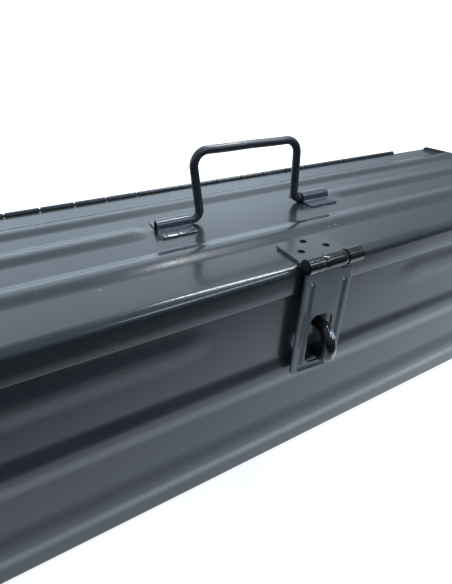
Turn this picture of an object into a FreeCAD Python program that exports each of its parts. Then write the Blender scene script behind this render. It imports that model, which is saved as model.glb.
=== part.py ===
import FreeCAD, Part
import Sketcher
import os
import math
from FreeCAD import Vector, Placement, Rotation

# Steel tool box: long pressed-sheet box, piano-hinged lid, wire bail handle in
# two saddles on the lid, hasp and padlock eye on the front.
# Frame: origin on the floor face, centred in length and depth.
# +X along the length, -Y is the front, +Z is up.  Millimetres.

doc = FreeCAD.newDocument("tool_box")

# ---------------------------------------------------------------- dimensions
DIM = [
    ("half_len", 290.0),        # lid, half length over the end caps
    ("sheet", 0.9),             # sheet thickness of box and lid
    ("body_half", 287.4),       # box, half length
    ("wall_front", -81.0),      # outer face of the front wall
    ("wall_back", 80.8),        # outer face of the back wall
    ("rim", 141.5),             # top of the box walls
    ("fold_r", 3.0),            # outer radius of the bottom folds
    ("hem_len", 8.0),           # folded-in hem along the top of the walls
    ("lid_top", 143.6),         # flat of the lid
    ("lid_front", -84.0),       # outer face of the lid's front skirt
    ("lid_back", 80.2),         # back edge of the lid sheet
    ("skirt_low", 126.0),       # lower edge of the lid's skirts
    ("roll_r", 5.5),            # outer radius of the lid's front edge
    ("bead_rise", 3.3),         # height of every pressed bead
    ("lid_bead_w", 12.6),       # half width of the lid beads
    ("lid_bead_rear", 45.2),
    ("lid_bead_mid", 5.5),
    ("lid_bead_front", -39.0),
    ("mid_gap", 79.5),          # middle lid bead is left out either side of the handle
    ("wall_bead_w", 11.5),      # half width of the wall beads
    ("wall_bead_low", 24.0),
    ("wall_bead_mid", 70.5),
    ("wall_bead_top", 111.5),
    ("top_gap", 69.0),          # upper front bead is left out behind the hasp
    ("bead_run", 11.0),         # length over which a bead rises from the flat
    ("flange", 12.0),           # weld flanges of the end panels
    ("hinge_y", 83.0),
    ("hinge_z", 144.0),
    ("hinge_ro", 2.2),
    ("hinge_bore", 1.25),
    ("hinge_pin_r", 1.2),
    ("hinge_half", 243.0),
    ("knuckle_pitch", 25.4),
    ("knuckle_box", 24.8),      # knuckle length, leaf on the box
    ("knuckle_lid", 23.8),      # knuckle length, leaf on the lid
    ("leaf_box_w", 14.0),
    ("leaf_lid_w", 15.0),
    ("handle_y", 3.5),
    ("wire_r", 3.15),
    ("saddle_bore", 3.22),
    ("saddle_ro", 4.6),
    ("saddle_in", 48.3),        # inner end of each saddle
    ("saddle_len", 25.0),
    ("saddle_foot", 15.4),      # half depth over the saddle's feet
    ("saddle_thick", 1.3),
    ("pivot_z", 147.0),
    ("leg_foot_left", -40.0),
    ("leg_head_left", -44.6),
    ("leg_foot_right", 41.6),
    ("leg_head_right", 42.4),
    ("wire_end", 67.0),
    ("bar_z", 195.6),
    ("bend_top", 10.5),
    ("bend_low", 6.0),
    ("hasp_x", 2.5),
    ("hasp_y", -89.0),
    ("hasp_z", 146.0),
    ("hasp_ro", 4.75),
    ("hasp_bore", 2.8),
    ("hasp_pin_r", 2.75),
    ("hasp_half", 19.6),
    ("hasp_mid", 8.6),          # half length of the flap's knuckle
    ("knuckle_play", 0.35),
    ("leaf_half", 18.2),
    ("leaf_back", -55.1),
    ("leaf_t", 2.0),
    ("leaf_hole_r", 2.4),
    ("flap_half", 17.8),
    ("flap_y", -87.9),           # middle of the flap's sheet
    ("flap_t", 1.6),
    ("flap_low", 68.6),
    ("flap_lean", 6.0),         # the flap hangs slightly out of square
    ("slot_half", 8.5),
    ("slot_top", 109.5),
    ("slot_low", 74.8),
    ("slot_round", 5.5),        # corner radius of the slot
    ("groove", 0.6),            # depth of the pressed groove round the flap
    ("eye_x", -0.6),
    ("eye_z", 90.5),
    ("eye_spread", 10.0),        # half distance between the eye's legs
    ("eye_r", 4.0),
    ("eye_out", 20.5),          # how far the eye stands out of the wall
]
sheet = doc.addObject("Spreadsheet::Sheet", "Params")
sheet.Label = "Params"
VAL = {}
for i, (name, value) in enumerate(DIM):
    sheet.set("A%d" % (i + 1), name)
    sheet.set("B%d" % (i + 1), repr(value))
    sheet.setAlias("B%d" % (i + 1), name)
    VAL[name] = value
doc.recompute()


class Q:
    """A number together with the sheet expression that gives it."""

    def __init__(self, v, s):
        self.v = float(v)
        self.s = s

    @staticmethod
    def of(o):
        return o if isinstance(o, Q) else Q(o, repr(float(o)))

    def __add__(self, o):
        o = Q.of(o)
        return Q(self.v + o.v, "(%s + %s)" % (self.s, o.s))

    __radd__ = __add__

    def __sub__(self, o):
        o = Q.of(o)
        return Q(self.v - o.v, "(%s - %s)" % (self.s, o.s))

    def __rsub__(self, o):
        return Q.of(o) - self

    def __mul__(self, o):
        o = Q.of(o)
        return Q(self.v * o.v, "(%s * %s)" % (self.s, o.s))

    __rmul__ = __mul__

    def __truediv__(self, o):
        o = Q.of(o)
        return Q(self.v / o.v, "(%s / %s)" % (self.s, o.s))

    def __neg__(self):
        return Q(-self.v, "(0 - %s)" % self.s)


class Dims:
    def __getattr__(self, name):
        return Q(VAL[name], "Params." + name)


d = Dims()
NODES = []          # objects that are written out


def bind(obj, prop, q):
    q = Q.of(q)
    obj.setExpression(prop, q.s)


def new_body(label):
    b = doc.addObject("PartDesign::Body", label)
    b.Label = label
    NODES.append(b)
    return b


def plane(body, role):
    for f in body.Origin.OriginFeatures:
        if f.Role == role:
            return f
    raise RuntimeError(role)


def new_sketch(body, role, name, offset=None):
    sk = body.newObject("Sketcher::SketchObject", name)
    sk.AttachmentSupport = (plane(body, role), [""])
    sk.MapMode = "FlatFace"
    if offset is not None:
        q = Q.of(offset)
        sk.AttachmentOffset = Placement(Vector(0, 0, q.v), Rotation())
        sk.setExpression(".AttachmentOffset.Base.z", q.s)
    return sk


def add_loop(sk, pts):
    """Closed polygon; every corner is held by sheet-driven distances."""
    n0 = sk.GeometryCount
    pts = [(Q.of(a), Q.of(b)) for a, b in pts]
    n = len(pts)
    geo = []
    for i in range(n):
        a, b = pts[i], pts[(i + 1) % n]
        geo.append(Part.LineSegment(Vector(a[0].v, a[1].v, 0), Vector(b[0].v, b[1].v, 0)))
    sk.addGeometry(geo, False)
    con = []
    for i in range(n):
        con.append(Sketcher.Constraint("Coincident", n0 + i, 2, n0 + (i + 1) % n, 1))
    drive = []
    for i in range(n):
        for kind, q in (("DistanceX", pts[i][0]), ("DistanceY", pts[i][1])):
            if "Params" in q.s:
                drive.append((len(con), q.s))
            con.append(Sketcher.Constraint(kind, -1, 1, n0 + i, 1, q.v))
    c0 = sk.ConstraintCount
    sk.addConstraint(con)
    for i, expr in drive:
        sk.setExpression("Constraints[%d]" % (c0 + i), expr)


def add_circle(sk, cx, cy, r):
    cx, cy, r = Q.of(cx), Q.of(cy), Q.of(r)
    g = sk.addGeometry(Part.Circle(Vector(cx.v, cy.v, 0), Vector(0, 0, 1), r.v), False)
    for kind, q in (("DistanceX", cx), ("DistanceY", cy)):
        c = sk.addConstraint(Sketcher.Constraint(kind, -1, 1, g, 3, q.v))
        sk.setExpression("Constraints[%d]" % c, q.s)
    c = sk.addConstraint(Sketcher.Constraint("Radius", g, r.v))
    sk.setExpression("Constraints[%d]" % c, r.s)


def pad(body, sk, length, name, reverse=False):
    p = body.newObject("PartDesign::Pad", name)
    p.Profile = sk
    p.Length = Q.of(length).v
    bind(p, "Length", length)
    p.Reversed = reverse
    body.Tip = p
    return p


def pocket_all(body, sk, name):
    p = body.newObject("PartDesign::Pocket", name)
    p.Profile = sk
    p.Type = 1
    p.Midplane = True
    body.Tip = p
    return p


def arc(cx, cy, r, a0, a1, n):
    """Corner points on a circle; cx, cy and r may be sheet values."""
    out = []
    for i in range(n + 1):
        a = math.radians(a0 + (a1 - a0) * i / n)
        out.append((Q.of(cx) + Q.of(r) * round(math.cos(a), 6), Q.of(cy) + Q.of(r) * round(math.sin(a), 6)))
    return out


# Half profile of a pressed bead: (share of the half width, share of the rise)
BEAD = [(-1.0, 0.0), (-0.86, 0.06), (-0.68, 0.36), (-0.5, 0.78), (-0.34, 0.96), (0.0, 1.0)]
BEAD = BEAD + [(-a, b) for a, b in reversed(BEAD[:-1])]


def bead_section(body, axis_role, name, at, centre, width, face, back, rise, upright):
    """One cross section of a bead strip, thickness one sheet, at station 'at' along X."""
    sk = new_sketch(body, axis_role, name, at)
    front = []
    rear = []
    for a, b in BEAD:
        u = Q.of(centre) + Q.of(width) * a
        f = Q.of(face) + Q.of(rise) * b
        g = Q.of(back) + Q.of(rise) * b
        if upright:
            front.append((u, f))
            rear.append((u, g))
        else:
            front.append((f, u))
            rear.append((g, u))
    add_loop(sk, front + rear[::-1])
    return sk


def bead_strip(body, name, x0, x1, centre, width, face, back, rise, upright, far):
    """Bead from x0 to x1 as one ruled loft: full height to the far end, closed at the other."""
    x0, x1 = Q.of(x0), Q.of(x1)
    run = d.bead_run
    if far < 0:
        stations = [(x0, 1.0), (x1 - run, 1.0), (x1 - run * 0.62, 0.93), (x1 - run * 0.3, 0.45), (x1, 0.0)]
    else:
        stations = [(x0, 0.0), (x0 + run * 0.3, 0.45), (x0 + run * 0.62, 0.93), (x0 + run, 1.0), (x1, 1.0)]
    sks = []
    for k, (at, rs) in enumerate(stations):
        sks.append(bead_section(body, "YZ_Plane", "%s_s%d" % (name, k), at, centre, width,
                                face, back, Q.of(rise) * rs, upright))
    loft = body.newObject("PartDesign::AdditiveLoft", name)
    loft.Profile = sks[0]
    loft.Sections = sks[1:]
    loft.Ruled = True
    loft.Closed = False
    body.Tip = loft
    return loft


# ------------------------------------------------------------ 1  box shell
# Front wall, floor and back wall folded from one sheet, hem along both rims.
b = new_body("box_shell")
f, k, t, rr = d.wall_front, d.wall_back, d.sheet, d.fold_r
ri = rr - t
w = d.wall_bead_w


def wall_points(y, sign, rows, down):
    """Wall line with full-length beads; y wall face, sign of the outward side."""
    pts = []
    for z in rows:
        for a, b2 in BEAD:
            pts.append((Q.of(y) + d.bead_rise * (b2 * sign), z + w * a))
    return pts[::-1] if down else pts


zl, zm, zt = d.wall_bead_low, d.wall_bead_mid, d.wall_bead_top
outer = [(f, d.rim)] + wall_points(f, -1, [zl, zm], True) + arc(f + rr, rr, rr, 180, 270, 4)
outer += arc(k - rr, rr, rr, 270, 360, 4) + wall_points(k, 1, [zl, zm, zt], False) + [(k, d.rim)]
hl = d.rim - d.hem_len
inner = [(k - t * 2, d.rim), (k - t * 2, hl), (k - t, hl)] + wall_points(k - t, 1, [zl, zm, zt], True)
inner += arc(k - rr, rr, ri, 360, 270, 4) + arc(f + rr, rr, ri, 270, 180, 4)
inner += wall_points(f + t, -1, [zl, zm], False) + [(f + t, hl), (f + t * 2, hl), (f + t * 2, d.rim)]
sk = new_sketch(b, "YZ_Plane", "wrap", -d.body_half)
add_loop(sk, outer + inner)
pad(b, sk, d.body_half * 2, "wrap_pad")
# the upper front bead stops short of the hasp on both sides
sk = new_sketch(b, "XZ_Plane", "front_windows", -(f - 1.0))
bh = d.body_half
for x0, x1 in ((-bh, -d.top_gap), (d.top_gap, bh)):
    add_loop(sk, [(x0, zt - w), (x1, zt - w), (x1, zt + w), (x0, zt + w)])
p = b.newObject("PartDesign::Pocket", "front_window_cut")
p.Profile = sk
p.Length = 3.0
b.Tip = p
bead_strip(b, "bead_top_left", -bh, -d.top_gap, zt, w, f, f + t, -d.bead_rise, False, -1)
bead_strip(b, "bead_top_right", d.top_gap, bh, zt, w, f, f + t, -d.bead_rise, False, 1)


# ------------------------------------------------------------ 2  end panels
# Pressed end walls with weld flanges lying inside the wrap.
def end_panel(label, sign):
    b = new_body(label)
    x_out = d.body_half
    hz = hl - 0.5

    def outline(inset):
        """Line of the wrap's inner face, moved inwards; from front rim round to back rim."""
        r2 = ri - inset
        fy, by = f + t + inset, k - t - inset
        pts = wall_points(fy, -1, [zl, zm, zt], True) + arc(f + rr, rr, r2, 180, 270, 4)
        return pts + arc(k - rr, rr, r2, 270, 360, 4) + wall_points(by, 1, [zl, zm, zt], False)

    yf, yb = f + t, k - t
    start = (x_out - t) if sign > 0 else -x_out
    sk = new_sketch(b, "YZ_Plane", label + "_plate", start)
    add_loop(sk, [(yf + t * 1.2, d.rim), (yf + t * 1.2, hz), (yf, hz)] + outline(0.0)
             + [(yb, hz), (yb - t * 1.2, hz), (yb - t * 1.2, d.rim)])
    pad(b, sk, t, label + "_pad")
    start = (x_out - d.flange) if sign > 0 else -(x_out - t)
    sk = new_sketch(b, "YZ_Plane", label + "_flange", start)
    add_loop(sk, [(yf, hz)] + outline(0.0) + [(yb, hz), (yb - t, hz)] + outline(0.9)[::-1] + [(yf + t, hz)])
    pad(b, sk, d.flange - t, label + "_flange_pad")
    sk = new_sketch(b, "YZ_Plane", label + "_top", start)
    add_loop(sk, [(yf + t * 1.2, d.rim - t), (yb - t * 1.2, d.rim - t), (yb - t * 1.2, d.rim), (yf + t * 1.2, d.rim)])
    pad(b, sk, d.flange - t, label + "_top_pad")
    return b


end_panel("end_panel_left", -1)
end_panel("end_panel_right", 1)

# ------------------------------------------------------------ 3  lid cover
b = new_body("lid_cover")
lt, lf, lb, sl, r = d.lid_top, d.lid_front, d.lid_back, d.skirt_low, d.roll_r
yr, ym, yf2, lw = d.lid_bead_rear, d.lid_bead_mid, d.lid_bead_front, d.lid_bead_w


def lid_points(z, rows, back_to_front):
    pts = []
    for y in rows:
        for a, b2 in BEAD:
            pts.append((y + lw * a, Q.of(z) + d.bead_rise * b2))
    return pts[::-1] if back_to_front else pts


outer = [(lb, lt)] + lid_points(lt, [yf2, yr], True) + arc(lf + r, lt - r, r, 90, 180, 8) + [(lf, sl)]
inner = [(lf + t * 2, sl), (lf + t * 2, sl + 6.0), (lf + t, sl + 6.0)] + arc(lf + r, lt - r, r - t, 180, 90, 8)
inner += lid_points(lt - t, [yf2, yr], False) + [(lb, lt - t)]
sk = new_sketch(b, "YZ_Plane", "cover", -(d.half_len - t))
add_loop(sk, outer + inner)
pad(b, sk, (d.half_len - t) * 2, "cover_pad")
# the middle bead stops short of the handle on both sides
sk = new_sketch(b, "XY_Plane", "lid_windows", lt - t - 1.0)
ce = d.half_len - t
for x0, x1 in ((-ce, -d.mid_gap), (d.mid_gap, ce)):
    add_loop(sk, [(x0, ym - lw), (x1, ym - lw), (x1, ym + lw), (x0, ym + lw)])
p = b.newObject("PartDesign::Pocket", "lid_window_cut")
p.Profile = sk
p.Length = 3.0
p.Reversed = True
b.Tip = p
bead_strip(b, "bead_middle_left", -ce, -d.mid_gap, ym, lw, lt, lt - t, d.bead_rise, True, -1)
bead_strip(b, "bead_middle_right", d.mid_gap, ce, ym, lw, lt, lt - t, d.bead_rise, True, 1)


# ------------------------------------------------------------ 4  lid end caps
def lid_end(label, sign):
    b = new_body(label)
    h = d.half_len
    start = (h - t) if sign > 0 else -h
    sk = new_sketch(b, "YZ_Plane", label + "_plate", start)
    top = lt + 3.4
    add_loop(sk, [(lf, sl), (lb, sl)] + arc(lb - 5.0, top - 5.0, 5.0, 0, 90, 5) + arc(lf + 7.0, top - 7.0, 7.0, 90, 180, 6))
    pad(b, sk, t, label + "_pad")
    # weld flange under the cover, following its beads
    start = (h - d.flange) if sign > 0 else -(h - t)
    sk = new_sketch(b, "YZ_Plane", label + "_flange", start)
    add_loop(sk, [(lb - 18.0, lt - t * 2), (lb - 18.0, lt - t)] + lid_points(lt - t, [yf2, ym, yr], True)
             + [(lf + 8.0, lt - t), (lf + 8.0, lt - t * 2)] + lid_points(lt - t * 2, [yf2, ym, yr], False))
    pad(b, sk, d.flange - t, label + "_flange_pad")
    return b


lid_end("lid_end_left", -1)
lid_end("lid_end_right", 1)


# ------------------------------------------------------------ 5  piano hinge
def hinge_leaf(label, start_x, kn_len, vertical):
    b = new_body(label)
    hy, hz, ro, bore = d.hinge_y, d.hinge_z, d.hinge_ro, d.hinge_bore
    if vertical:
        strip = [(hy - ro, hz - 2.8 - d.leaf_box_w), (hy - ro + t, hz - 2.8 - d.leaf_box_w),
                 (hy - ro + t, hz - 2.8), (hy - ro, hz - 2.8)]
        tab = [(hy - ro, hz - 2.9), (hy - ro + t, hz - 2.9), (hy - ro + t, hz), (hy - ro, hz)]
    else:
        strip = [(hy - 3.0 - d.leaf_lid_w, hz - ro), (hy - 3.0, hz - ro),
                 (hy - 3.0, hz - ro + t), (hy - 3.0 - d.leaf_lid_w, hz - ro + t)]
        tab = [(hy - 3.1, hz - ro), (hy, hz - ro), (hy, hz - ro + t), (hy - 3.1, hz - ro + t)]
    sk = new_sketch(b, "YZ_Plane", label + "_strip", -d.hinge_half)
    add_loop(sk, strip)
    pad(b, sk, d.hinge_half * 2, label + "_strip_pad")
    sk = new_sketch(b, "YZ_Plane", label + "_tab", start_x)
    add_loop(sk, tab)
    tp = pad(b, sk, kn_len, label + "_tab_pad")
    sk = new_sketch(b, "YZ_Plane", label + "_ring", start_x)
    add_circle(sk, hy, hz, ro)
    add_circle(sk, hy, hz, bore)
    rp = pad(b, sk, kn_len, label + "_ring_pad")
    doc.recompute()
    pat = b.newObject("PartDesign::LinearPattern", label + "_knuckles")
    pat.Originals = [tp, rp]
    for ft in b.Origin.OriginFeatures:
        if ft.Role == "X_Axis":
            pat.Direction = (ft, [""])
    n = 10 if vertical else 9
    pat.Length = VAL["knuckle_pitch"] * 2 * (n - 1)
    pat.Occurrences = n
    pat.setExpression("Length", "Params.knuckle_pitch * 2 * %d" % (n - 1))
    b.Tip = pat
    return b


hinge_leaf("hinge_leaf_box", d.knuckle_pitch * -9.5 + (d.knuckle_pitch - d.knuckle_box) / 2, d.knuckle_box, True)
hinge_leaf("hinge_leaf_lid", d.knuckle_pitch * -8.5 + (d.knuckle_pitch - d.knuckle_lid) / 2, d.knuckle_lid, False)


def cylinder_x(label, x0, y, z, radius, length, node=True):
    c = doc.addObject("Part::Cylinder", label)
    c.Label = label
    c.Placement = Placement(Vector(Q.of(x0).v, Q.of(y).v, Q.of(z).v), Rotation(Vector(0, 1, 0), 90))
    bind(c, "Radius", radius)
    bind(c, "Height", length)
    c.setExpression(".Placement.Base.x", Q.of(x0).s)
    c.setExpression(".Placement.Base.y", Q.of(y).s)
    c.setExpression(".Placement.Base.z", Q.of(z).s)
    if node:
        NODES.append(c)
    return c


def box(label, x, y, z, lx, ly, lz):
    c = doc.addObject("Part::Box", label)
    c.Label = label
    for prop, q in (("Length", lx), ("Width", ly), ("Height", lz)):
        bind(c, prop, q)
    for ax, q in (("x", x), ("y", y), ("z", z)):
        c.setExpression(".Placement.Base." + ax, Q.of(q).s)
    return c


cylinder_x("hinge_pin", d.knuckle_pitch * -9.5, d.hinge_y, d.hinge_z, d.hinge_pin_r, d.knuckle_pitch * 19)


# ------------------------------------------------------------ 6  handle saddles
# Strap pressed over the wire: two flat feet and a tunnel between them.
def saddle(label, x0):
    y, z = d.handle_y, d.pivot_z
    feet = box(label + "_feet", x0, y - d.saddle_foot, d.lid_top, d.saddle_len, d.saddle_foot * 2, d.saddle_thick)
    web = box(label + "_web", x0, y - d.saddle_ro, d.lid_top, d.saddle_len, d.saddle_ro * 2, z - d.lid_top)
    dome = cylinder_x(label + "_dome", x0, y, z, d.saddle_ro, d.saddle_len, node=False)
    body = doc.addObject("Part::MultiFuse", label + "_outer")
    body.Shapes = [feet, web, dome]
    bore = cylinder_x(label + "_bore", x0 - 1.0, y, z, d.saddle_bore, d.saddle_len + 2.0, node=False)
    chan = box(label + "_channel", x0 - 1.0, y - d.saddle_bore, d.lid_top - 5.0, d.saddle_len + 2.0, d.saddle_bore * 2, z - d.lid_top + 5.0)
    under = box(label + "_under", x0 - 1.0, y - 20.0, d.lid_top - 12.0, d.saddle_len + 2.0, 40.0, 12.0)
    tool = doc.addObject("Part::MultiFuse", label + "_tool")
    tool.Shapes = [bore, chan, under]
    cut = doc.addObject("Part::Cut", label)
    cut.Label = label
    cut.Base = body
    cut.Tool = tool
    NODES.append(cut)
    return cut


saddle("saddle_left", -(d.saddle_in + d.saddle_len))
saddle("saddle_right", d.saddle_in)

# ------------------------------------------------------------ 7  bail handle
# Round wire, bent up at both ends, ends turned outwards into the saddles.
hb = new_body("bail_handle")


def fillet_path(pts, radii):
    """Poly-line with rounded corners: returns list of edges' geometry."""
    geo = []
    last = pts[0]
    for i in range(1, len(pts) - 1):
        p0, p1, p2 = pts[i - 1], pts[i], pts[i + 1]
        v1 = (p0 - p1).normalize()
        v2 = (p2 - p1).normalize()
        ang = math.acos(max(-1, min(1, v1.dot(v2))))
        dist = radii[i - 1] / math.tan(ang / 2)
        a = p1 + v1 * dist
        c = p1 + v2 * dist
        bis = (v1 + v2).normalize()
        centre = p1 + bis * (radii[i - 1] / math.sin(ang / 2))
        mid = centre - bis * radii[i - 1]
        geo.append(Part.LineSegment(last, a))
        geo.append(Part.Arc(a, mid, c))
        last = c
    geo.append(Part.LineSegment(last, pts[-1]))
    return geo


zp = VAL["pivot_z"]
path_pts = [Vector(-VAL["wire_end"], zp, 0), Vector(VAL["leg_foot_left"], zp, 0),
            Vector(VAL["leg_head_left"], VAL["bar_z"], 0), Vector(VAL["leg_head_right"], VAL["bar_z"], 0),
            Vector(VAL["leg_foot_right"], zp, 0), Vector(VAL["wire_end"], zp, 0)]
path = new_sketch(hb, "XZ_Plane", "bail_path", -d.handle_y)
geo = fillet_path(path_pts, [VAL["bend_low"], VAL["bend_top"], VAL["bend_top"], VAL["bend_low"]])
path.addGeometry(geo, False)


def touching(sk, g1, g2):
    for p1 in (1, 2):
        for p2 in (1, 2):
            if (sk.getPoint(g1, p1) - sk.getPoint(g2, p2)).Length < 1e-4:
                return p1, p2
    raise RuntimeError("path is not connected")


for i in range(len(geo) - 1):
    p1, p2 = touching(path, i, i + 1)
    path.addConstraint(Sketcher.Constraint("Tangent", i, p1, i + 1, p2))
for g, nm in ((1, "bend_low"), (3, "bend_top"), (5, "bend_top"), (7, "bend_low")):
    c = path.addConstraint(Sketcher.Constraint("Radius", g, VAL[nm]))
    path.setExpression("Constraints[%d]" % c, "Params." + nm)
corners = [(-d.wire_end, d.pivot_z, 0, None), (d.leg_foot_left, d.pivot_z, 0, 2), (d.leg_head_left, d.bar_z, 2, 4),
           (d.leg_head_right, d.bar_z, 4, 6), (d.leg_foot_right, d.pivot_z, 6, 8), (d.wire_end, d.pivot_z, 8, None)]
for n, (qx, qz, ga, gb) in enumerate(corners):
    if gb is None:
        where = (ga, 1 if n == 0 else 2)
    else:
        pt = path.addGeometry(Part.Point(Vector(qx.v, qz.v, 0)), True)
        path.addConstraint(Sketcher.Constraint("PointOnObject", pt, 1, ga))
        path.addConstraint(Sketcher.Constraint("PointOnObject", pt, 1, gb))
        where = (pt, 1)
    for kind, q in (("DistanceX", qx), ("DistanceY", qz)):
        c = path.addConstraint(Sketcher.Constraint(kind, -1, 1, where[0], where[1], q.v))
        path.setExpression("Constraints[%d]" % c, q.s)
prof = new_sketch(hb, "YZ_Plane", "bail_section", -d.wire_end)
add_circle(prof, d.handle_y, d.pivot_z, d.wire_r)
pipe = hb.newObject("PartDesign::AdditivePipe", "bail_pipe")
pipe.Profile = prof
pipe.Spine = path
hb.Tip = pipe

# ------------------------------------------------------------ 8  hasp leaf and pin
b = new_body("hasp_leaf")
hx, hy, hz, ho, hbore = d.hasp_x, d.hasp_y, d.hasp_z, d.hasp_ro, d.hasp_bore
lh = d.leaf_half
sk = new_sketch(b, "XY_Plane", "leaf_plan", d.lid_top)
add_loop(sk, [(hx - lh, d.leaf_back - 27.0), (hx + lh, d.leaf_back - 27.0)]
         + arc(hx + lh - 7.0, d.leaf_back - 7.0, 7.0, 0, 90, 6)
         + arc(hx - lh + 3.5, d.leaf_back - 3.5, 3.5, 90, 180, 4))
pad(b, sk, d.leaf_t, "leaf_pad")
sk = new_sketch(b, "XY_Plane", "leaf_holes", d.lid_top + d.leaf_t)
add_circle(sk, hx, d.leaf_back - 5.2, d.leaf_hole_r)
add_circle(sk, hx - 9.6, d.leaf_back - 16.0, d.leaf_hole_r)
add_circle(sk, hx + 9.6, d.leaf_back - 16.0, d.leaf_hole_r)
p = b.newObject("PartDesign::Pocket", "leaf_hole_cut")
p.Profile = sk
p.Length = 6.0
b.Tip = p
for nm, x0 in (("a", hx - d.hasp_half), ("b", hx + d.hasp_mid + d.knuckle_play)):
    ln = d.hasp_half - d.hasp_mid - d.knuckle_play
    # arm from the leaf to the knuckle
    sk = new_sketch(b, "YZ_Plane", "arm_" + nm, x0)
    add_loop(sk, [(d.leaf_back - 26.0, d.lid_top), (d.leaf_back - 26.0, d.lid_top + d.leaf_t),
                  (hy + 3.2, hz + 0.9), (hy + 3.2, d.lid_top)])
    pad(b, sk, ln, "arm_pad_" + nm)
    sk = new_sketch(b, "YZ_Plane", "knuckle_" + nm, x0)
    add_circle(sk, hy, hz, ho)
    add_circle(sk, hy, hz, hbore)
    pad(b, sk, ln, "knuckle_pad_" + nm)
cylinder_x("hasp_pin", hx - d.hasp_half, hy, hz, d.hasp_pin_r, d.hasp_half * 2)

# ------------------------------------------------------------ 9  hasp flap
b = new_body("hasp_flap")
sk = new_sketch(b, "YZ_Plane", "flap_ring", hx - d.hasp_mid)
add_circle(sk, hy, hz, ho)
add_circle(sk, hy, hz, hbore)
pad(b, sk, d.hasp_mid * 2, "flap_ring_pad")
ca, sa = math.cos(math.radians(VAL["flap_lean"])), math.sin(math.radians(VAL["flap_lean"]))


def lean(u, v):
    """u across, v down from the pin's axis, turned by the flap's lean."""
    u, v = Q.of(u), Q.of(v)
    return (hx + u * round(ca, 6) - v * round(sa, 6), hz - v * round(ca, 6) - u * round(sa, 6))


fh, drop = d.flap_half, d.hasp_z - d.flap_low
n0 = 7.0
plate = [lean(-d.hasp_mid + 0.9, 3.4), lean(d.hasp_mid + 0.2, 3.4), lean(d.hasp_mid + 0.2, n0), lean(fh, n0)]
plate += [lean(fh, drop - 8.0), lean(fh - 1.2, drop - 4.8), lean(fh - 4.0, drop - 1.6), lean(fh - 8.0, drop)]
plate += [lean(-fh + 2.5, drop), lean(-fh + 0.7, drop - 0.8), lean(-fh, drop - 2.5), lean(-fh, n0), lean(-d.hasp_mid + 0.9, n0)]
sk = new_sketch(b, "XZ_Plane", "flap_plate", -(d.flap_y + d.flap_t / 2))
add_loop(sk, plate)
pad(b, sk, d.flap_t, "flap_plate_pad")
# pressed groove down both sides and along the foot
sk = new_sketch(b, "XZ_Plane", "flap_groove", -(d.flap_y - d.flap_t / 2))
gi, go = fh - 8.4, fh - 2.8
add_loop(sk, [lean(-go, 14.0), lean(-go, drop - 3.8), lean(-go + 2.0, drop - 1.8), lean(go - 6.0, drop - 1.8), lean(go, drop - 8.4),
              lean(go, 14.0), lean(gi, 14.0), lean(gi, drop - 10.0), lean(gi - 3.4, drop - 5.6), lean(-gi, drop - 5.6), lean(-gi, 14.0)])
p = b.newObject("PartDesign::Pocket", "flap_groove_cut")
p.Profile = sk
p.Length = VAL["groove"]
bind(p, "Length", d.groove)
b.Tip = p
# slot for the eye, and the bore kept clear of the plate
sk = new_sketch(b, "XZ_Plane", "flap_slot", -(hy - 4.0))
sh, st, sb = d.slot_half, d.hasp_z - d.slot_top, d.hasp_z - d.slot_low
slot = []
for su, sv, a0 in ((-1, st, 180), (1, st, 90), (1, sb, 0), (-1, sb, -90)):
    cu = (sh - d.slot_round) * su
    cv = sv + d.slot_round if sv is st else sv - d.slot_round
    for i in range(5):
        a = math.radians(a0 - 90 * i / 4)
        slot.append(lean(cu + d.slot_round * round(math.cos(a), 6), cv - d.slot_round * round(math.sin(a), 6)))
add_loop(sk, slot)
p = b.newObject("PartDesign::Pocket", "flap_slot_cut")
p.Profile = sk
p.Length = 8.0
b.Tip = p
sk = new_sketch(b, "YZ_Plane", "flap_bore", hx - 14.0)
add_circle(sk, hy, hz, hbore)
p = b.newObject("PartDesign::Pocket", "flap_bore_cut")
p.Profile = sk
p.Length = 28.0
p.Reversed = True
b.Tip = p

# ------------------------------------------------------------ 10  padlock eye
# One bent rod; the upper leg meets the wall, the lower one the middle bead.
b = new_body("padlock_eye")
face = VAL["wall_front"]
foot = VAL["wall_front"] - 2.65
out = VAL["wall_front"] - VAL["eye_out"]
cy = out + VAL["eye_r"] + VAL["eye_spread"]
path = new_sketch(b, "YZ_Plane", "eye_path", d.eye_x)
zu, zd = VAL["eye_z"] + VAL["eye_spread"], VAL["eye_z"] - VAL["eye_spread"]
path.addGeometry([Part.LineSegment(Vector(face, zu, 0), Vector(cy, zu, 0)),
                  Part.Arc(Vector(cy, zu, 0), Vector(cy - VAL["eye_spread"], VAL["eye_z"], 0), Vector(cy, zd, 0)),
                  Part.LineSegment(Vector(cy, zd, 0), Vector(foot, zd, 0))], False)
for g1, g2 in ((0, 1), (1, 2)):
    p1, p2 = touching(path, g1, g2)
    path.addConstraint(Sketcher.Constraint("Tangent", g1, p1, g2, p2))
holds = [("DistanceX", 0, 1, f), ("DistanceY", 0, 1, d.eye_z + d.eye_spread), ("DistanceX", 2, 2, f - 2.65),
         ("DistanceX", 1, 3, f - d.eye_out + d.eye_r + d.eye_spread), ("DistanceY", 1, 3, d.eye_z)]
for kind, g, pos, q in holds:
    c = path.addConstraint(Sketcher.Constraint(kind, -1, 1, g, pos, q.v))
    path.setExpression("Constraints[%d]" % c, q.s)
prof = new_sketch(b, "XZ_Plane", "eye_section", -f)
add_circle(prof, d.eye_x, d.eye_z + d.eye_spread, d.eye_r)
pipe = b.newObject("PartDesign::AdditivePipe", "eye_pipe")
pipe.Profile = prof
pipe.Spine = path
b.Tip = pipe

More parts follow.
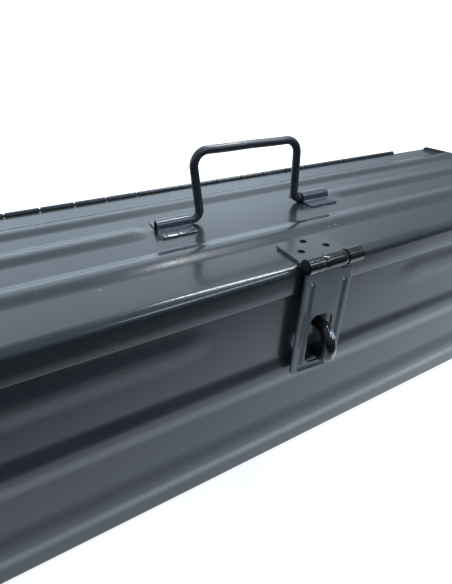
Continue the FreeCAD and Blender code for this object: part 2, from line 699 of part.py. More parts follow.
# ------------------------------------------------------------ check and write
doc.recompute()
bad = []
for o in doc.Objects:
    if "Invalid" in o.State or "Error" in o.State:
        bad.append((o.Label, o.State))
for o in NODES:
    s = o.Shape
    if s.isNull() or not s.isValid() or len(s.Solids) != 1:
        bad.append((o.Label, "shape", None if s.isNull() else (s.isValid(), len(s.Solids))))
if bad:
    for x in bad:
        print("BAD", x)
    raise RuntimeError("model has failed objects")
os.makedirs("parts", exist_ok=True)
for old in os.listdir("parts"):
    if old.endswith(".step"):
        os.remove(os.path.join("parts", old))
for o in NODES:
    o.Shape.exportStep(os.path.join("parts", o.Label + ".step"))
    bb = o.Shape.BoundBox
    print("%-18s vol %9.1f  x %.1f..%.1f  y %.1f..%.1f  z %.1f..%.1f" % (
        o.Label, o.Shape.Volume, bb.XMin, bb.XMax, bb.YMin, bb.YMax, bb.ZMin, bb.ZMax))
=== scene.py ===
import bpy, bmesh, math
from mathutils import Vector, Matrix, Euler


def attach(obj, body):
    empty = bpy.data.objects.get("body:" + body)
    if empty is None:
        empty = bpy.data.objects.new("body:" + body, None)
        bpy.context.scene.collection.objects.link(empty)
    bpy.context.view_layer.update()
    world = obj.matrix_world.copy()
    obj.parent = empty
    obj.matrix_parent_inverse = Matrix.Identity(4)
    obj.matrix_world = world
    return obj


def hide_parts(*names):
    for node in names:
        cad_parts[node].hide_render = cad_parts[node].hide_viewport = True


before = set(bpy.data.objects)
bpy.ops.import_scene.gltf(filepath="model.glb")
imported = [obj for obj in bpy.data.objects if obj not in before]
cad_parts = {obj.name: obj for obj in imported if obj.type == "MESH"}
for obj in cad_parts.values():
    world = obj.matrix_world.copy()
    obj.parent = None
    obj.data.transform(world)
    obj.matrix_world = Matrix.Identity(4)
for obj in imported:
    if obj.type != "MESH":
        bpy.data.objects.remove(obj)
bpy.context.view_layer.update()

# ---------------------------------------------------------------- node helpers
def new_mat(name):
    m = bpy.data.materials.new(name)
    m.use_nodes = True
    nt = m.node_tree
    for n in list(nt.nodes):
        nt.nodes.remove(n)
    out = nt.nodes.new("ShaderNodeOutputMaterial")
    b = nt.nodes.new("ShaderNodeBsdfPrincipled")
    nt.links.new(b.outputs["BSDF"], out.inputs["Surface"])
    return m, nt, b


class G:
    """Small helper that wires nodes together."""
    def __init__(self, nt):
        self.nt = nt
        self.tc = nt.nodes.new("ShaderNodeTexCoord").outputs["Object"]
        self.geo = nt.nodes.new("ShaderNodeNewGeometry")

    def noise(self, scale, detail=3.0, rough=0.55, stretch=(1, 1, 1), off=(0, 0, 0), dist=0.0):
        mp = self.nt.nodes.new("ShaderNodeMapping")
        mp.inputs["Scale"].default_value = stretch
        mp.inputs["Location"].default_value = off
        self.nt.links.new(self.tc, mp.inputs["Vector"])
        n = self.nt.nodes.new("ShaderNodeTexNoise")
        n.inputs["Scale"].default_value = scale
        n.inputs["Detail"].default_value = detail
        n.inputs["Roughness"].default_value = rough
        n.inputs["Distortion"].default_value = dist
        self.nt.links.new(mp.outputs["Vector"], n.inputs["Vector"])
        return n.outputs["Fac"]

    def voro(self, scale, feature="F1", stretch=(1, 1, 1), out="Distance", rand=1.0):
        mp = self.nt.nodes.new("ShaderNodeMapping")
        mp.inputs["Scale"].default_value = stretch
        self.nt.links.new(self.tc, mp.inputs["Vector"])
        n = self.nt.nodes.new("ShaderNodeTexVoronoi")
        n.feature = feature
        n.inputs["Scale"].default_value = scale
        n.inputs["Randomness"].default_value = rand
        self.nt.links.new(mp.outputs["Vector"], n.inputs["Vector"])
        return n.outputs[out]

    def ramp(self, src, stops):
        r = self.nt.nodes.new("ShaderNodeValToRGB")
        el = r.color_ramp.elements
        while len(el) < len(stops):
            el.new(0.5)
        for e, (p, c) in zip(el, stops):
            e.position = p
            e.color = (c, c, c, 1) if isinstance(c, (int, float)) else (*c, 1)
        self.nt.links.new(src, r.inputs["Fac"])
        return r.outputs["Color"]

    def math(self, op, a, b=None, c=None, clamp=False):
        n = self.nt.nodes.new("ShaderNodeMath")
        n.operation = op
        n.use_clamp = clamp
        for i, v in enumerate((a, b, c)):
            if v is None:
                continue
            if isinstance(v, (int, float)):
                n.inputs[i].default_value = v
            else:
                self.nt.links.new(v, n.inputs[i])
        return n.outputs[0]

    def mix(self, fac, a, b, kind="RGBA", blend="MIX"):
        n = self.nt.nodes.new("ShaderNodeMix")
        n.data_type = kind
        if kind == "RGBA":
            n.blend_type = blend
            ia, ib, io = 6, 7, 2
        else:
            ia, ib, io = 2, 3, 0
        for i, v in ((0, fac), (ia, a), (ib, b)):
            if isinstance(v, (int, float)):
                n.inputs[i].default_value = v if not (kind == "RGBA" and i in (ia, ib)) else (v, v, v, 1)
            elif isinstance(v, tuple):
                n.inputs[i].default_value = (*v, 1) if len(v) == 3 else v
            else:
                self.nt.links.new(v, n.inputs[i])
        return n.outputs[io]

    def sep(self):
        s = self.nt.nodes.new("ShaderNodeSeparateXYZ")
        self.nt.links.new(self.tc, s.inputs[0])
        return s.outputs

    def bump(self, bsdf, *layers):
        """layers: (height socket, strength, distance)"""
        prev = None
        for h, st, di in layers:
            n = self.nt.nodes.new("ShaderNodeBump")
            n.inputs["Strength"].default_value = st
            n.inputs["Distance"].default_value = di
            self.nt.links.new(h, n.inputs["Height"])
            if prev is not None:
                self.nt.links.new(prev, n.inputs["Normal"])
            prev = n.outputs["Normal"]
        self.nt.links.new(prev, bsdf.inputs["Normal"])
        return prev

    def edge(self, width):
        """Bevel-based edge mask: 1 near a convex or concave edge."""
        bv = self.nt.nodes.new("ShaderNodeBevel")
        bv.samples = 4
        bv.inputs["Radius"].default_value = width
        dt = self.nt.nodes.new("ShaderNodeVectorMath")
        dt.operation = "DOT_PRODUCT"
        self.nt.links.new(bv.outputs["Normal"], dt.inputs[0])
        self.nt.links.new(self.geo.outputs["Normal"], dt.inputs[1])
        return self.math("SUBTRACT", 1.0, dt.outputs["Value"], clamp=True)


def setp(b, key, v, nt=None):
    if isinstance(v, (int, float)):
        b.inputs[key].default_value = v
    elif isinstance(v, tuple):
        b.inputs[key].default_value = (*v, 1) if len(v) == 3 else v
    else:
        nt.links.new(v, b.inputs[key])


# ---------------------------------------------------------------- materials
def enamel(name, base, rough=0.30, dust=0.5, peel=0.10, coat=0.35, crough=0.14):
    """Sprayed semi-gloss enamel on sheet steel: slight orange peel, hazy patches, lint and dust specks."""
    m, nt, b = new_mat(name)
    g = G(nt)
    big = g.noise(9.0, 3.0, 0.5)
    cloud = g.noise(34.0, 4.0, 0.6, stretch=(0.45, 1, 1))
    col = g.mix(g.ramp(big, [(0.3, 0.0), (0.7, 1.0)]), tuple(c * 0.95 for c in base), tuple(c * 1.05 for c in base))
    col = g.mix(g.math("MULTIPLY", g.ramp(cloud, [(0.45, 0.0), (0.75, 1.0)]), 0.25), col, tuple(min(1, c * 1.2 + 0.005) for c in base))
    # tiny light specks of dust and spray grit, sparse
    v = g.voro(170.0)
    sel = g.voro(170.0, out="Color")
    sp = nt.nodes.new("ShaderNodeSeparateColor")
    nt.links.new(sel, sp.inputs[0])
    few = g.math("GREATER_THAN", sp.outputs[0], 1.0 - 0.035 * dust)
    dot = g.math("LESS_THAN", v, g.math("MULTIPLY", sp.outputs[1], 0.085))
    speck = g.math("MULTIPLY", few, dot)
    col = g.mix(g.math("MULTIPLY", speck, 0.75), col, (0.55, 0.56, 0.58))
    # rubbed bright line where a sheet edge is exposed
    e = g.edge(0.0003)
    worn = g.math("MULTIPLY", g.ramp(e, [(0.22, 0.0), (0.6, 1.0)]), g.ramp(g.noise(60.0, 4.0, 0.6), [(0.35, 0.0), (0.65, 1.0)]))
    col = g.mix(g.math("MULTIPLY", worn, 0.45), col, tuple(min(1, c * 2.2 + 0.05) for c in base))
    setp(b, "Base Color", col, nt)
    r = g.mix(g.ramp(cloud, [(0.3, 0.0), (0.8, 1.0)]), rough - 0.04, rough + 0.09, "FLOAT")
    r = g.math("ADD", r, g.math("MULTIPLY", speck, 0.3))
    setp(b, "Roughness", r, nt)
    setp(b, "Metallic", 0.0)
    setp(b, "IOR", 1.55)
    setp(b, "Coat Weight", coat)
    setp(b, "Coat Roughness", crough)
    g.bump(b, (g.noise(700.0, 2.0, 0.5), peel, 0.00006),
           (g.noise(14.0, 2.0, 0.5, stretch=(0.5, 1, 1)), 0.22, 0.0006))
    return m


def gloss_black(name, base=(0.026, 0.030, 0.036), rough=0.30, scuff=1.0):
    """Thick glossy black paint over steel wire, scuffed where it is held, with a painted sheen: upward faces are
    lightened to blue-grey, and the scuffs are weighted towards them.
    """
    m, nt, b = new_mat(name)
    g = G(nt)
    n1 = g.noise(120.0, 5.0, 0.65)
    n2 = g.noise(700.0, 4.0, 0.6)
    s = g.sep()
    rub = g.math("MULTIPLY", g.ramp(n1, [(0.52, 0.0), (0.66, 1.0)]), g.ramp(n2, [(0.48, 0.0), (0.6, 1.0)]))
    nz = nt.nodes.new("ShaderNodeSeparateXYZ")
    nt.links.new(g.geo.outputs["Normal"], nz.inputs[0])
    up = g.ramp(nz.outputs[2], [(0.25, 0.0), (0.9, 1.0)])
    rub = g.math("MULTIPLY", rub, g.math("ADD", 0.15, g.math("MULTIPLY", up, 0.85)))
    # painted sheen: faces that point up are mixed towards a lighter blue-grey, and the up mask also weights the scuffs
    # towards the top
    col = g.mix(g.math("MULTIPLY", up, 0.5), base, (0.10, 0.112, 0.13))
    col = g.mix(g.math("MULTIPLY", rub, 0.55 * scuff), col, (0.20, 0.20, 0.21))
    setp(b, "Base Color", col, nt)
    r = g.mix(g.noise(45.0, 3.0), rough, rough + 0.14, "FLOAT")
    r = g.math("ADD", r, g.math("MULTIPLY", rub, 0.3))
    setp(b, "Roughness", r, nt)
    setp(b, "IOR", 1.5)
    setp(b, "Coat Weight", 0.8)
    setp(b, "Coat Roughness", 0.20)
    g.bump(b, (g.noise(180.0, 3.0, 0.5), 0.25, 0.0004), (n2, 0.08, 0.0001))
    return m


def satin_hasp(name, base=(0.10, 0.112, 0.125)):
    """Thin satin paint on pressed steel with rubbed corners."""
    m, nt, b = new_mat(name)
    g = G(nt)
    n1 = g.noise(55.0, 4.0, 0.6)
    e = g.edge(0.0009)
    worn = g.math("MULTIPLY", g.ramp(e, [(0.10, 0.0), (0.45, 1.0)]), g.ramp(g.noise(140.0, 5.0, 0.7), [(0.42, 0.0), (0.62, 1.0)]))
    col = g.mix(g.ramp(n1, [(0.3, 0.0), (0.75, 1.0)]), tuple(c * 0.85 for c in base), tuple(c * 1.2 for c in base))
    col = g.mix(g.math("MULTIPLY", worn, 0.5), col, (0.33, 0.34, 0.36))
    setp(b, "Base Color", col, nt)
    setp(b, "Metallic", g.math("MULTIPLY", worn, 0.6), nt)
    setp(b, "Roughness", g.mix(n1, 0.30, 0.46, "FLOAT"), nt)
    setp(b, "IOR", 1.5)
    setp(b, "Coat Weight", 0.2)
    setp(b, "Coat Roughness", 0.2)
    g.bump(b, (g.noise(900.0, 3.0, 0.6), 0.12, 0.00008), (g.noise(90.0, 3.0, 0.5), 0.15, 0.0003))
    return m


def chipped(name, paint=(0.02, 0.021, 0.024), amount=0.5, bare=(0.72, 0.72, 0.72), scale=90.0, rough=0.22):
    """Black paint with bright chips down to the steel."""
    m, nt, b = new_mat(name)
    g = G(nt)
    n = g.noise(scale, 6.0, 0.7, dist=0.6)
    fine = g.noise(scale * 7, 3.0, 0.6)
    f = g.math("ADD", n, g.math("MULTIPLY", g.math("SUBTRACT", fine, 0.5), 0.12))
    chip = g.ramp(f, [(0.70 - 0.16 * amount, 0.0), (0.715 - 0.16 * amount, 1.0)])
    col = g.mix(chip, paint, bare)
    setp(b, "Base Color", col, nt)
    setp(b, "Metallic", chip, nt)
    setp(b, "Roughness", g.mix(chip, rough, 0.32, "FLOAT"), nt)
    setp(b, "Coat Weight", g.math("MULTIPLY", g.math("SUBTRACT", 1.0, chip), 0.3), nt)
    g.bump(b, (chip, -0.5, 0.00012), (fine, 0.1, 0.00008))
    return m


def hasp_leaf_paint(name):
    """Semi-gloss leaf; its rolled knuckles are black with the paint worn through to silver in streaks."""
    m, nt, b = new_mat(name)
    g = G(nt)
    sx, sy, sz = g.sep()
    ry = g.math("SUBTRACT", sy, -0.089)
    rz = g.math("SUBTRACT", sz, 0.146)
    r = g.math("SQRT", g.math("ADD", g.math("MULTIPLY", ry, ry), g.math("MULTIPLY", rz, rz)))
    curl = g.math("LESS_THAN", r, 0.0052)
    n1 = g.noise(55.0, 4.0, 0.6)
    e = g.edge(0.0009)
    worn = g.math("MULTIPLY", g.ramp(e, [(0.10, 0.0), (0.45, 1.0)]), g.ramp(g.noise(140.0, 5.0, 0.7), [(0.42, 0.0), (0.62, 1.0)]))
    plate = g.mix(g.ramp(n1, [(0.3, 0.0), (0.75, 1.0)]), (0.060, 0.068, 0.072), (0.085, 0.094, 0.100))
    plate = g.mix(g.math("MULTIPLY", worn, 0.5), plate, (0.33, 0.34, 0.36))
    chips = g.noise(210.0, 6.0, 0.72, stretch=(0.35, 1, 1), dist=0.5)
    chip = g.math("MULTIPLY", g.ramp(chips, [(0.635, 0.0), (0.66, 1.0)]), curl)
    black = g.mix(chip, (0.012, 0.013, 0.014), (0.55, 0.56, 0.57))
    setp(b, "Base Color", g.mix(curl, plate, black), nt)
    setp(b, "Metallic", g.math("MULTIPLY", chip, 0.9), nt)
    setp(b, "Roughness", g.mix(curl, g.mix(n1, 0.26, 0.38, "FLOAT"), 0.16, "FLOAT"), nt)
    setp(b, "Coat Weight", 0.5)
    setp(b, "Coat Roughness", 0.12)
    g.bump(b, (g.noise(900.0, 3.0, 0.6), 0.12, 0.00008), (g.noise(90.0, 3.0, 0.5), 0.2, 0.0003), (chip, -0.4, 0.0001))
    return m


def eye_paint(name):
    """Glossy black rod, chipped to bright steel on its outer right face, with one cream primer spot near the tip."""
    m, nt, b = new_mat(name)
    g = G(nt)
    sx, sy, sz = g.sep()
    nz = nt.nodes.new("ShaderNodeSeparateXYZ")
    nt.links.new(g.geo.outputs["Normal"], nz.inputs[0])
    near = g.math("MULTIPLY", g.math("LESS_THAN", sy, -0.0925), g.math("GREATER_THAN", sx, -0.0018))
    n = g.noise(210.0, 5.0, 0.68, dist=0.8)
    chip = g.math("MULTIPLY", g.ramp(n, [(0.535, 0.0), (0.55, 1.0)]), near)
    n2 = g.noise(420.0, 5.0, 0.7, off=(3, 1, 2))
    few = g.ramp(n2, [(0.70, 0.0), (0.71, 1.0)])
    chip = g.math("MAXIMUM", chip, few)
    dd = None
    for o, c in ((sx, -0.0002), (sy, -0.1016), (sz, 0.0880)):
        q = g.math("SUBTRACT", o, c)
        q = g.math("MULTIPLY", q, q)
        dd = q if dd is None else g.math("ADD", dd, q)
    dist = g.math("ADD", g.math("SQRT", dd), g.math("MULTIPLY", g.math("SUBTRACT", n, 0.5), 0.002))
    bare = g.math("LESS_THAN", dist, 0.0030)
    col = g.mix(chip, (0.010, 0.011, 0.012), (0.80, 0.81, 0.83))
    col = g.mix(bare, col, (0.66, 0.56, 0.40))
    setp(b, "Base Color", col, nt)
    setp(b, "Metallic", g.math("MULTIPLY", chip, g.math("SUBTRACT", 0.8, bare, clamp=True)), nt)
    setp(b, "Roughness", g.mix(bare, g.mix(chip, 0.13, 0.34, "FLOAT"), 0.6, "FLOAT"), nt)
    setp(b, "Coat Weight", 0.3)
    g.bump(b, (g.math("MAXIMUM", chip, bare), -0.5, 0.00012), (g.noise(500.0, 3.0, 0.6), 0.12, 0.0001))
    return m


BASE = (0.030, 0.037, 0.046)
mat_body = enamel("enamel_body", (0.034, 0.041, 0.048), rough=0.30, dust=1.2, coat=0.4)
mat_lid = enamel("enamel_lid", (0.028, 0.036, 0.042), rough=0.26, dust=1.8, coat=0.6, crough=0.11)
# painted sheen: the saddles' enamel has a lighter, bluer base than the lid's same paint, standing in for the bright
# bluish sheen on the straps
mat_saddle_painted_sheen = enamel("enamel_saddle_painted_sheen", (0.060, 0.070, 0.095), rough=0.24, dust=1.2, peel=0.25, coat=0.8, crough=0.08)
mat_hinge = enamel("enamel_hinge", (0.030, 0.034, 0.040), rough=0.34, dust=0.5)
mat_handle = gloss_black("black_wire")
mat_hasp = satin_hasp("satin_hasp")
mat_knuckle = chipped("worn_knuckle", paint=(0.012, 0.013, 0.014), amount=0.12, scale=240.0, rough=0.20)
mat_eye = eye_paint("chipped_eye")
mat_leaf = hasp_leaf_paint("hasp_leaf_paint")
mat_pin = chipped("pin_end", paint=(0.03, 0.03, 0.03), amount=0.4, scale=200.0)

# painted highlight: the pressed pips get a pale blue-grey paint that stands in for the glint on each pip
mat_pip_painted_glint = chipped("pip_painted_glint", paint=(0.38, 0.45, 0.54), amount=0.1, scale=300.0, rough=0.12)
mat_weld = chipped("weld_run", paint=(0.018, 0.019, 0.021), amount=0.15, scale=260.0, rough=0.4)

ASSIGN = {"box_shell": mat_body, "end_panel_left": mat_body, "end_panel_right": mat_body, "lid_cover": mat_lid,
          "lid_end_left": mat_lid, "lid_end_right": mat_lid, "hinge_leaf_box": mat_hinge, "hinge_leaf_lid": mat_hinge,
          "hinge_pin": mat_pin, "saddle_left": mat_saddle_painted_sheen, "saddle_right": mat_saddle_painted_sheen, "bail_handle": mat_handle,
          "hasp_leaf": mat_leaf, "hasp_pin": mat_pin, "hasp_flap": mat_hasp, "padlock_eye": mat_eye}
for n, m in ASSIGN.items():
    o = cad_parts[n]
    if o.material_slots:
        for s in o.material_slots:
            s.material = m
    else:
        o.data.materials.append(m)

# ---------------------------------------------------------------- fine visual geometry (mm in, metres out)
def add_mesh(name, verts, faces, mat, body, node=None, slot=None, sharp=32.0):
    me = bpy.data.meshes.new(name)
    me.from_pydata([(x / 1000.0, y / 1000.0, z / 1000.0) for x, y, z in verts], [], faces)
    bm = bmesh.new()
    bm.from_mesh(me)
    bmesh.ops.recalc_face_normals(bm, faces=bm.faces)
    bm.to_mesh(me)
    bm.free()
    me.polygons.foreach_set("use_smooth", [True] * len(me.polygons))
    me.set_sharp_from_angle(angle=math.radians(sharp))
    me.materials.append(mat)
    o = bpy.data.objects.new(name, me)
    bpy.context.collection.objects.link(o)
    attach(o, body)
    if node:
        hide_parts(node)
    return o


def loft(name, loops, *args, **kw):
    """Closed loops of equal length joined one to the next, with a cap on each end."""
    n = len(loops[0])
    verts = [p for l in loops for p in l]
    faces = []
    for i in range(len(loops) - 1):
        for j in range(n):
            k = (j + 1) % n
            faces.append((i * n + j, i * n + k, (i + 1) * n + k, (i + 1) * n + j))
    faces.append(tuple(range(n))[::-1])
    faces.append(tuple(range((len(loops) - 1) * n, len(loops) * n)))
    return add_mesh(name, verts, faces, *args, **kw)


def sstep(v, a, b):
    t = min(1.0, max(0.0, (v - a) / (b - a)))
    return t * t * (3 - 2 * t)


def bead(u, w, x, gap=None, run=13.0):
    """Pressed bead, height 0..1: flat crown, sloped sides, rounded where it stops short of the middle."""
    d = abs(u) / w
    if gap is not None:
        e = (gap + run - abs(x)) / run
        if e > 0:
            d = math.hypot(d, e)
    return 1.0 - sstep(d, 0.08, 1.0)


def hash1(i):
    v = math.sin(i * 127.1 + 11.7) * 43758.5453
    return v - math.floor(v)


def vnoise(x, y=0.0):
    xi, yi = math.floor(x), math.floor(y)
    fx, fy = x - xi, y - yi
    fx, fy = fx * fx * (3 - 2 * fx), fy * fy * (3 - 2 * fy)
    h = lambda i, j: hash1(i * 1.0 + j * 57.0)
    return (h(xi, yi) * (1 - fx) + h(xi + 1, yi) * fx) * (1 - fy) + (h(xi, yi + 1) * (1 - fx) + h(xi + 1, yi + 1) * fx) * fy - 0.5


def stations(end, gap, run=13.0):
    xs = set()
    x = 0.0
    while x < end:
        xs.add(round(x, 3))
        x += 1.0 if gap - 3 < x < gap + run + 3 else 9.0
    xs.add(end)
    return sorted({-v for v in xs} | xs)


T = 0.9
RISE = 3.3
LT, LF, LB = 143.6, -84.0, 80.2


def lid_h(x, y):
    h = RISE * (bead(y - 45.2, 12.6, x) + bead(y + 39.0, 12.6, x) + bead(y - 5.5, 12.6, x, 77.0))
    return h * (0.60 + 0.40 * sstep(abs(x), 262, 286)) + 0.07 * vnoise(x / 55.0 + 3, y / 24.0) * sstep(abs(x), 40, 120)


def lid_loop(x):
    ys = [LB - i * (LB + 78.5) / 150.0 for i in range(151)]
    out = [(x, y, LT + lid_h(x, y)) for y in ys]
    wob = 0.10 * vnoise(x / 38.0, 9.1)
    for i in range(1, 13):
        a = math.radians(90 + 90 * i / 12.0)
        out.append((x, LF + 5.5 + 5.5 * math.cos(a) + wob * (i / 12.0), LT - 5.5 + 5.5 * math.sin(a)))
    f = LF + wob
    out.append((x, f + 0.05, 132.0))
    for i in range(0, 7):
        a = math.radians(180 + 180 * i / 6.0)
        out.append((x, f + 0.9 + 0.9 * math.cos(a), 126.9 + 0.9 * math.sin(a)))
    out.append((x, f + 1.8, 131.9))
    out.append((x, f + 0.95, 132.4))
    for i in range(12, -1, -1):
        a = math.radians(90 + 90 * i / 12.0)
        out.append((x, LF + 5.5 + 4.6 * math.cos(a) + wob * (i / 12.0), LT - 5.5 + 4.6 * math.sin(a)))
    out += [(x, y, LT - T + lid_h(x, y)) for y in ys[:-1][::-1]]
    return out


loft("lid_sheet", [lid_loop(x) for x in stations(289.1, 77.0)], mat_lid, "lid", node="lid_cover", slot="lid_paint")

WF, WB, RIM = -81.0, 80.8, 141.5


def wall_h(x, z, front):
    h = bead(z - 24.0, 13.0, x) + bead(z - 70.5, 13.0, x)
    if front:
        h += bead(z - 111.5, 12.5, x, 67.0, 26.0) * (0.34 + 0.3 * sstep(abs(x), 90, 220))
    else:
        h += bead(z - 111.5, 13.0, x)
    return 3.3 * h * (0.68 + 0.32 * sstep(abs(x), 262, 285)) + 0.14 * vnoise(x / 60.0 + 7 + (0 if front else 20), z / 30.0)


def box_loop(x):
    zs = [RIM - i * (RIM - 3.0) / 128.0 for i in range(129)]
    out = [(x, WF - wall_h(x, z, True) * (1 if z < RIM - 2 else 0), z) for z in zs]
    for i in range(1, 9):
        a = math.radians(180 + 90 * i / 8.0)
        out.append((x, WF + 3 + 3 * math.cos(a), 3 + 3 * math.sin(a)))
    for i in range(0, 9):
        a = math.radians(270 + 90 * i / 8.0)
        out.append((x, WB - 3 + 3 * math.cos(a), 3 + 3 * math.sin(a)))
    out += [(x, WB + wall_h(x, z, False) * (1 if z < RIM - 2 else 0), z) for z in zs[::-1][1:]]
    out += [(x, WB - 0.9, RIM + 0.0), (x, WB - 1.8, RIM - 0.5), (x, WB - 1.8, RIM - 8.0), (x, WB - 0.9, RIM - 8.3)]
    inner = [z for z in zs if z < RIM - 9.0]
    out += [(x, WB - T + wall_h(x, z, False), z) for z in inner]
    for i in range(8, -1, -1):
        a = math.radians(270 + 90 * i / 8.0)
        out.append((x, WB - 3 + 2.1 * math.cos(a), 3 + 2.1 * math.sin(a)))
    for i in range(8, 0, -1):
        a = math.radians(180 + 90 * i / 8.0)
        out.append((x, WF + 3 + 2.1 * math.cos(a), 3 + 2.1 * math.sin(a)))
    out += [(x, WF + T - wall_h(x, z, True), z) for z in inner[::-1]]
    out += [(x, WF + 0.9, RIM - 8.3), (x, WF + 1.8, RIM - 8.0), (x, WF + 1.8, RIM - 0.5), (x, WF + 0.9, RIM + 0.0)]
    return out


loft("box_sheet", [box_loop(x) for x in stations(287.4, 67.0, 26.0)], mat_body, "box", node="box_shell", slot="body_paint")


# ---- tubes
def fillet(pts, radii, seg=10):
    pts = [Vector(p) for p in pts]
    out = [pts[0]]
    for i in range(1, len(pts) - 1):
        p0, p1, p2 = pts[i - 1], pts[i], pts[i + 1]
        v1, v2 = (p0 - p1).normalized(), (p2 - p1).normalized()
        ang = v1.angle(v2)
        r = radii[i - 1]
        dist = r / math.tan(ang / 2)
        c = p1 + (v1 + v2).normalized() * (r / math.sin(ang / 2))
        a, b2 = p1 + v1 * dist - c, p1 + v2 * dist - c
        tot = a.angle(b2)
        for k in range(seg + 1):
            t = k / seg
            out.append(c + (a * math.sin((1 - t) * tot) + b2 * math.sin(t * tot)) / math.sin(tot))
    out.append(pts[-1])
    return out


def densify(pts, step):
    out = [pts[0]]
    for a, b2 in zip(pts, pts[1:]):
        n = max(1, int((b2 - a).length / step))
        out += [a + (b2 - a) * (k / n) for k in range(1, n + 1)]
    return out


def tube(name, pts, radius, *args, side=Vector((0, 1, 0)), seg=28, shape=None, dome=(0.0, 0.0), **kw):
    """Round rod along pts (all in a plane normal to side); shape(i, angle) trims the radius."""
    loops = []
    n = len(pts)
    for i, p in enumerate(pts):
        t = (pts[min(n - 1, i + 1)] - pts[max(0, i - 1)]).normalized()
        u = side.normalized()
        v = t.cross(u).normalized()
        loops.append((p, u, v, t))
    res = []
    def ring(p, u, v, r, i):
        return [tuple(p + (u * math.cos(2 * math.pi * k / seg) + v * math.sin(2 * math.pi * k / seg)) * r * (shape(i, 2 * math.pi * k / seg) if shape else 1.0)) for k in range(seg)]
    p, u, v, t = loops[0]
    if dome[0]:
        for f, q in ((0.55, 1.0), (0.85, 0.6), (0.97, 0.25)):
            res.append(ring(p - t * (dome[0] * (q - 1.0)) - t * 0.0, u, v, radius * f, 0))
    for i, (p, u, v, t) in enumerate(loops):
        res.append(ring(p, u, v, radius, i))
    return loft(name, res, *args, **kw)


path = fillet([(-67, 3.5, 147), (-40.0, 3.5, 147), (-44.6, 3.5, 195.6), (42.4, 3.5, 195.6), (41.6, 3.5, 147), (67, 3.5, 147)],
              [6.0, 10.5, 10.5, 6.0])
path = densify(path, 2.0)
path = [p + Vector((0, 0, 0.35 * vnoise(p.x / 21.0, 2.0) if p.z > 192 else 0.0)) for p in path]
tube("bail_wire", path, 3.15, mat_handle, "handle", node="bail_handle", slot="handle_black",
     shape=lambda i, a: 1.0 - 0.012 * (0.5 + vnoise(i / 5.0, a)))

ez, es, er, ey = 90.5, 10.0, 4.0, -101.5
cyc = ey + er + es
epts = [Vector((-0.6, -81.0, ez + es)), Vector((-0.6, cyc - 0.5, ez + es))]
for k in range(1, 24):
    a = math.radians(90 + 180 * k / 24.0)
    epts.append(Vector((-0.6, cyc + es * math.cos(a), ez + es * math.sin(a))))
epts += [Vector((-0.6, cyc, ez - es)), Vector((-0.6, -83.65, ez - es))]
epts = [Vector((p.x - 1.4 * sstep(-p.y, 88.5, 98.0), p.y, p.z)) for p in densify(epts, 1.0)]
tube("eye_rod", epts, er, mat_eye, "box", side=Vector((1, 0, 0)), node="padlock_eye", slot="eye_steel",
     shape=lambda i, a: 1.0 - 0.02 * (0.5 + vnoise(i / 4.0, a * 1.5)) + 0.05 + 0.20 * math.exp(-((i - 24) / 9.0) ** 2))


# ---- saddle straps
def strap(name, x0, node, seed):
    y0, zc, ro, ri, th, foot = 3.5, 147.0, 4.62, 3.25, 1.3, 15.4
    loops = []
    nx = 26
    for i in range(nx + 1):
        x = x0 + 25.0 * i / nx
        rag = 0.9 * vnoise(i / 1.3, seed) + 0.3 * vnoise(i * 2.1, seed + 3)
        ff, fb = -foot + max(0.0, rag) * 1.1, foot - max(0.0, -rag) * 0.4
        lift = 0.25 * sstep(abs(i - nx / 2.0), nx * 0.3, nx * 0.5)
        top = LT + th
        out = [(x, y0 + ff, LT), (x, y0 + ff, top - 0.25), (x, y0 + ff + 0.3, top)]
        out += [(x, y0 - ro - 3.0, top + 0.02), (x, y0 - ro - 1.2, top + 0.22), (x, y0 - ro - 0.35, top + 0.75), (x, y0 - ro, top + 1.5)]
        for k in range(0, 17):
            a = math.radians(180 - 180 * k / 16.0)
            c, s2 = math.cos(a), math.sin(a)
            f = (abs(c) ** 2.5 + abs(s2) ** 2.5) ** (-1 / 2.5)
            out.append((x, y0 + ro * f * c, zc + ro * (f if s2 < 0.9 else 1.0) * s2 * 0.995))
        out += [(x, y0 + ro, top + 1.5), (x, y0 + ro + 0.35, top + 0.75), (x, y0 + ro + 1.2, top + 0.22), (x, y0 + ro + 3.0, top + 0.02)]
        out += [(x, y0 + fb - 0.3, top + lift), (x, y0 + fb, top - 0.25 + lift), (x, y0 + fb, LT + lift)]
        out += [(x, y0 + ri, LT)]
        for k in range(0, 13):
            a = math.radians(180 * k / 12.0)
            out.append((x, y0 + ri * math.cos(a), zc + ri * math.sin(a)))
        out += [(x, y0 - ri, LT)]
        loops.append(out)
    o = loft(name, loops, mat_saddle_painted_sheen, "lid", node=node, slot="saddle_paint", sharp=40)
    bv = o.modifiers.new("edge", "BEVEL")
    bv.width = 0.0003
    bv.segments = 2
    bv.limit_method = "ANGLE"
    bv.angle_limit = math.radians(50)
    # weld run along the front foot: a ragged dark bead of metal
    verts, faces = [], []
    n, m = 60, 8
    for i in range(n + 1):
        x = x0 + 0.6 + 23.8 * i / n
        amp = max(0.0, 0.30 + 0.9 * vnoise(i / 3.1, seed + 11)) * 0.55
        yb = y0 - foot + 0.15 + 0.5 * vnoise(i / 2.3, seed + 17)
        for k in range(m):
            a = math.pi * 2 * k / m
            verts.append((x, yb + (0.15 + amp) * math.cos(a), LT + 0.05 + amp * 0.9 * math.sin(a)))
    for i in range(n):
        for k in range(m):
            faces.append((i * m + k, i * m + (k + 1) % m, (i + 1) * m + (k + 1) % m, (i + 1) * m + k))
    faces.append(tuple(range(m)))
    faces.append(tuple(range(n * m, n * m + m))[::-1])
    add_mesh(name + "_weld", verts, faces, mat_weld, "lid", slot="saddle_paint", sharp=60)
    return o


strap("strap_left", -73.3, "saddle_left", 1.0)
strap("strap_right", 48.3, "saddle_right", 5.0)


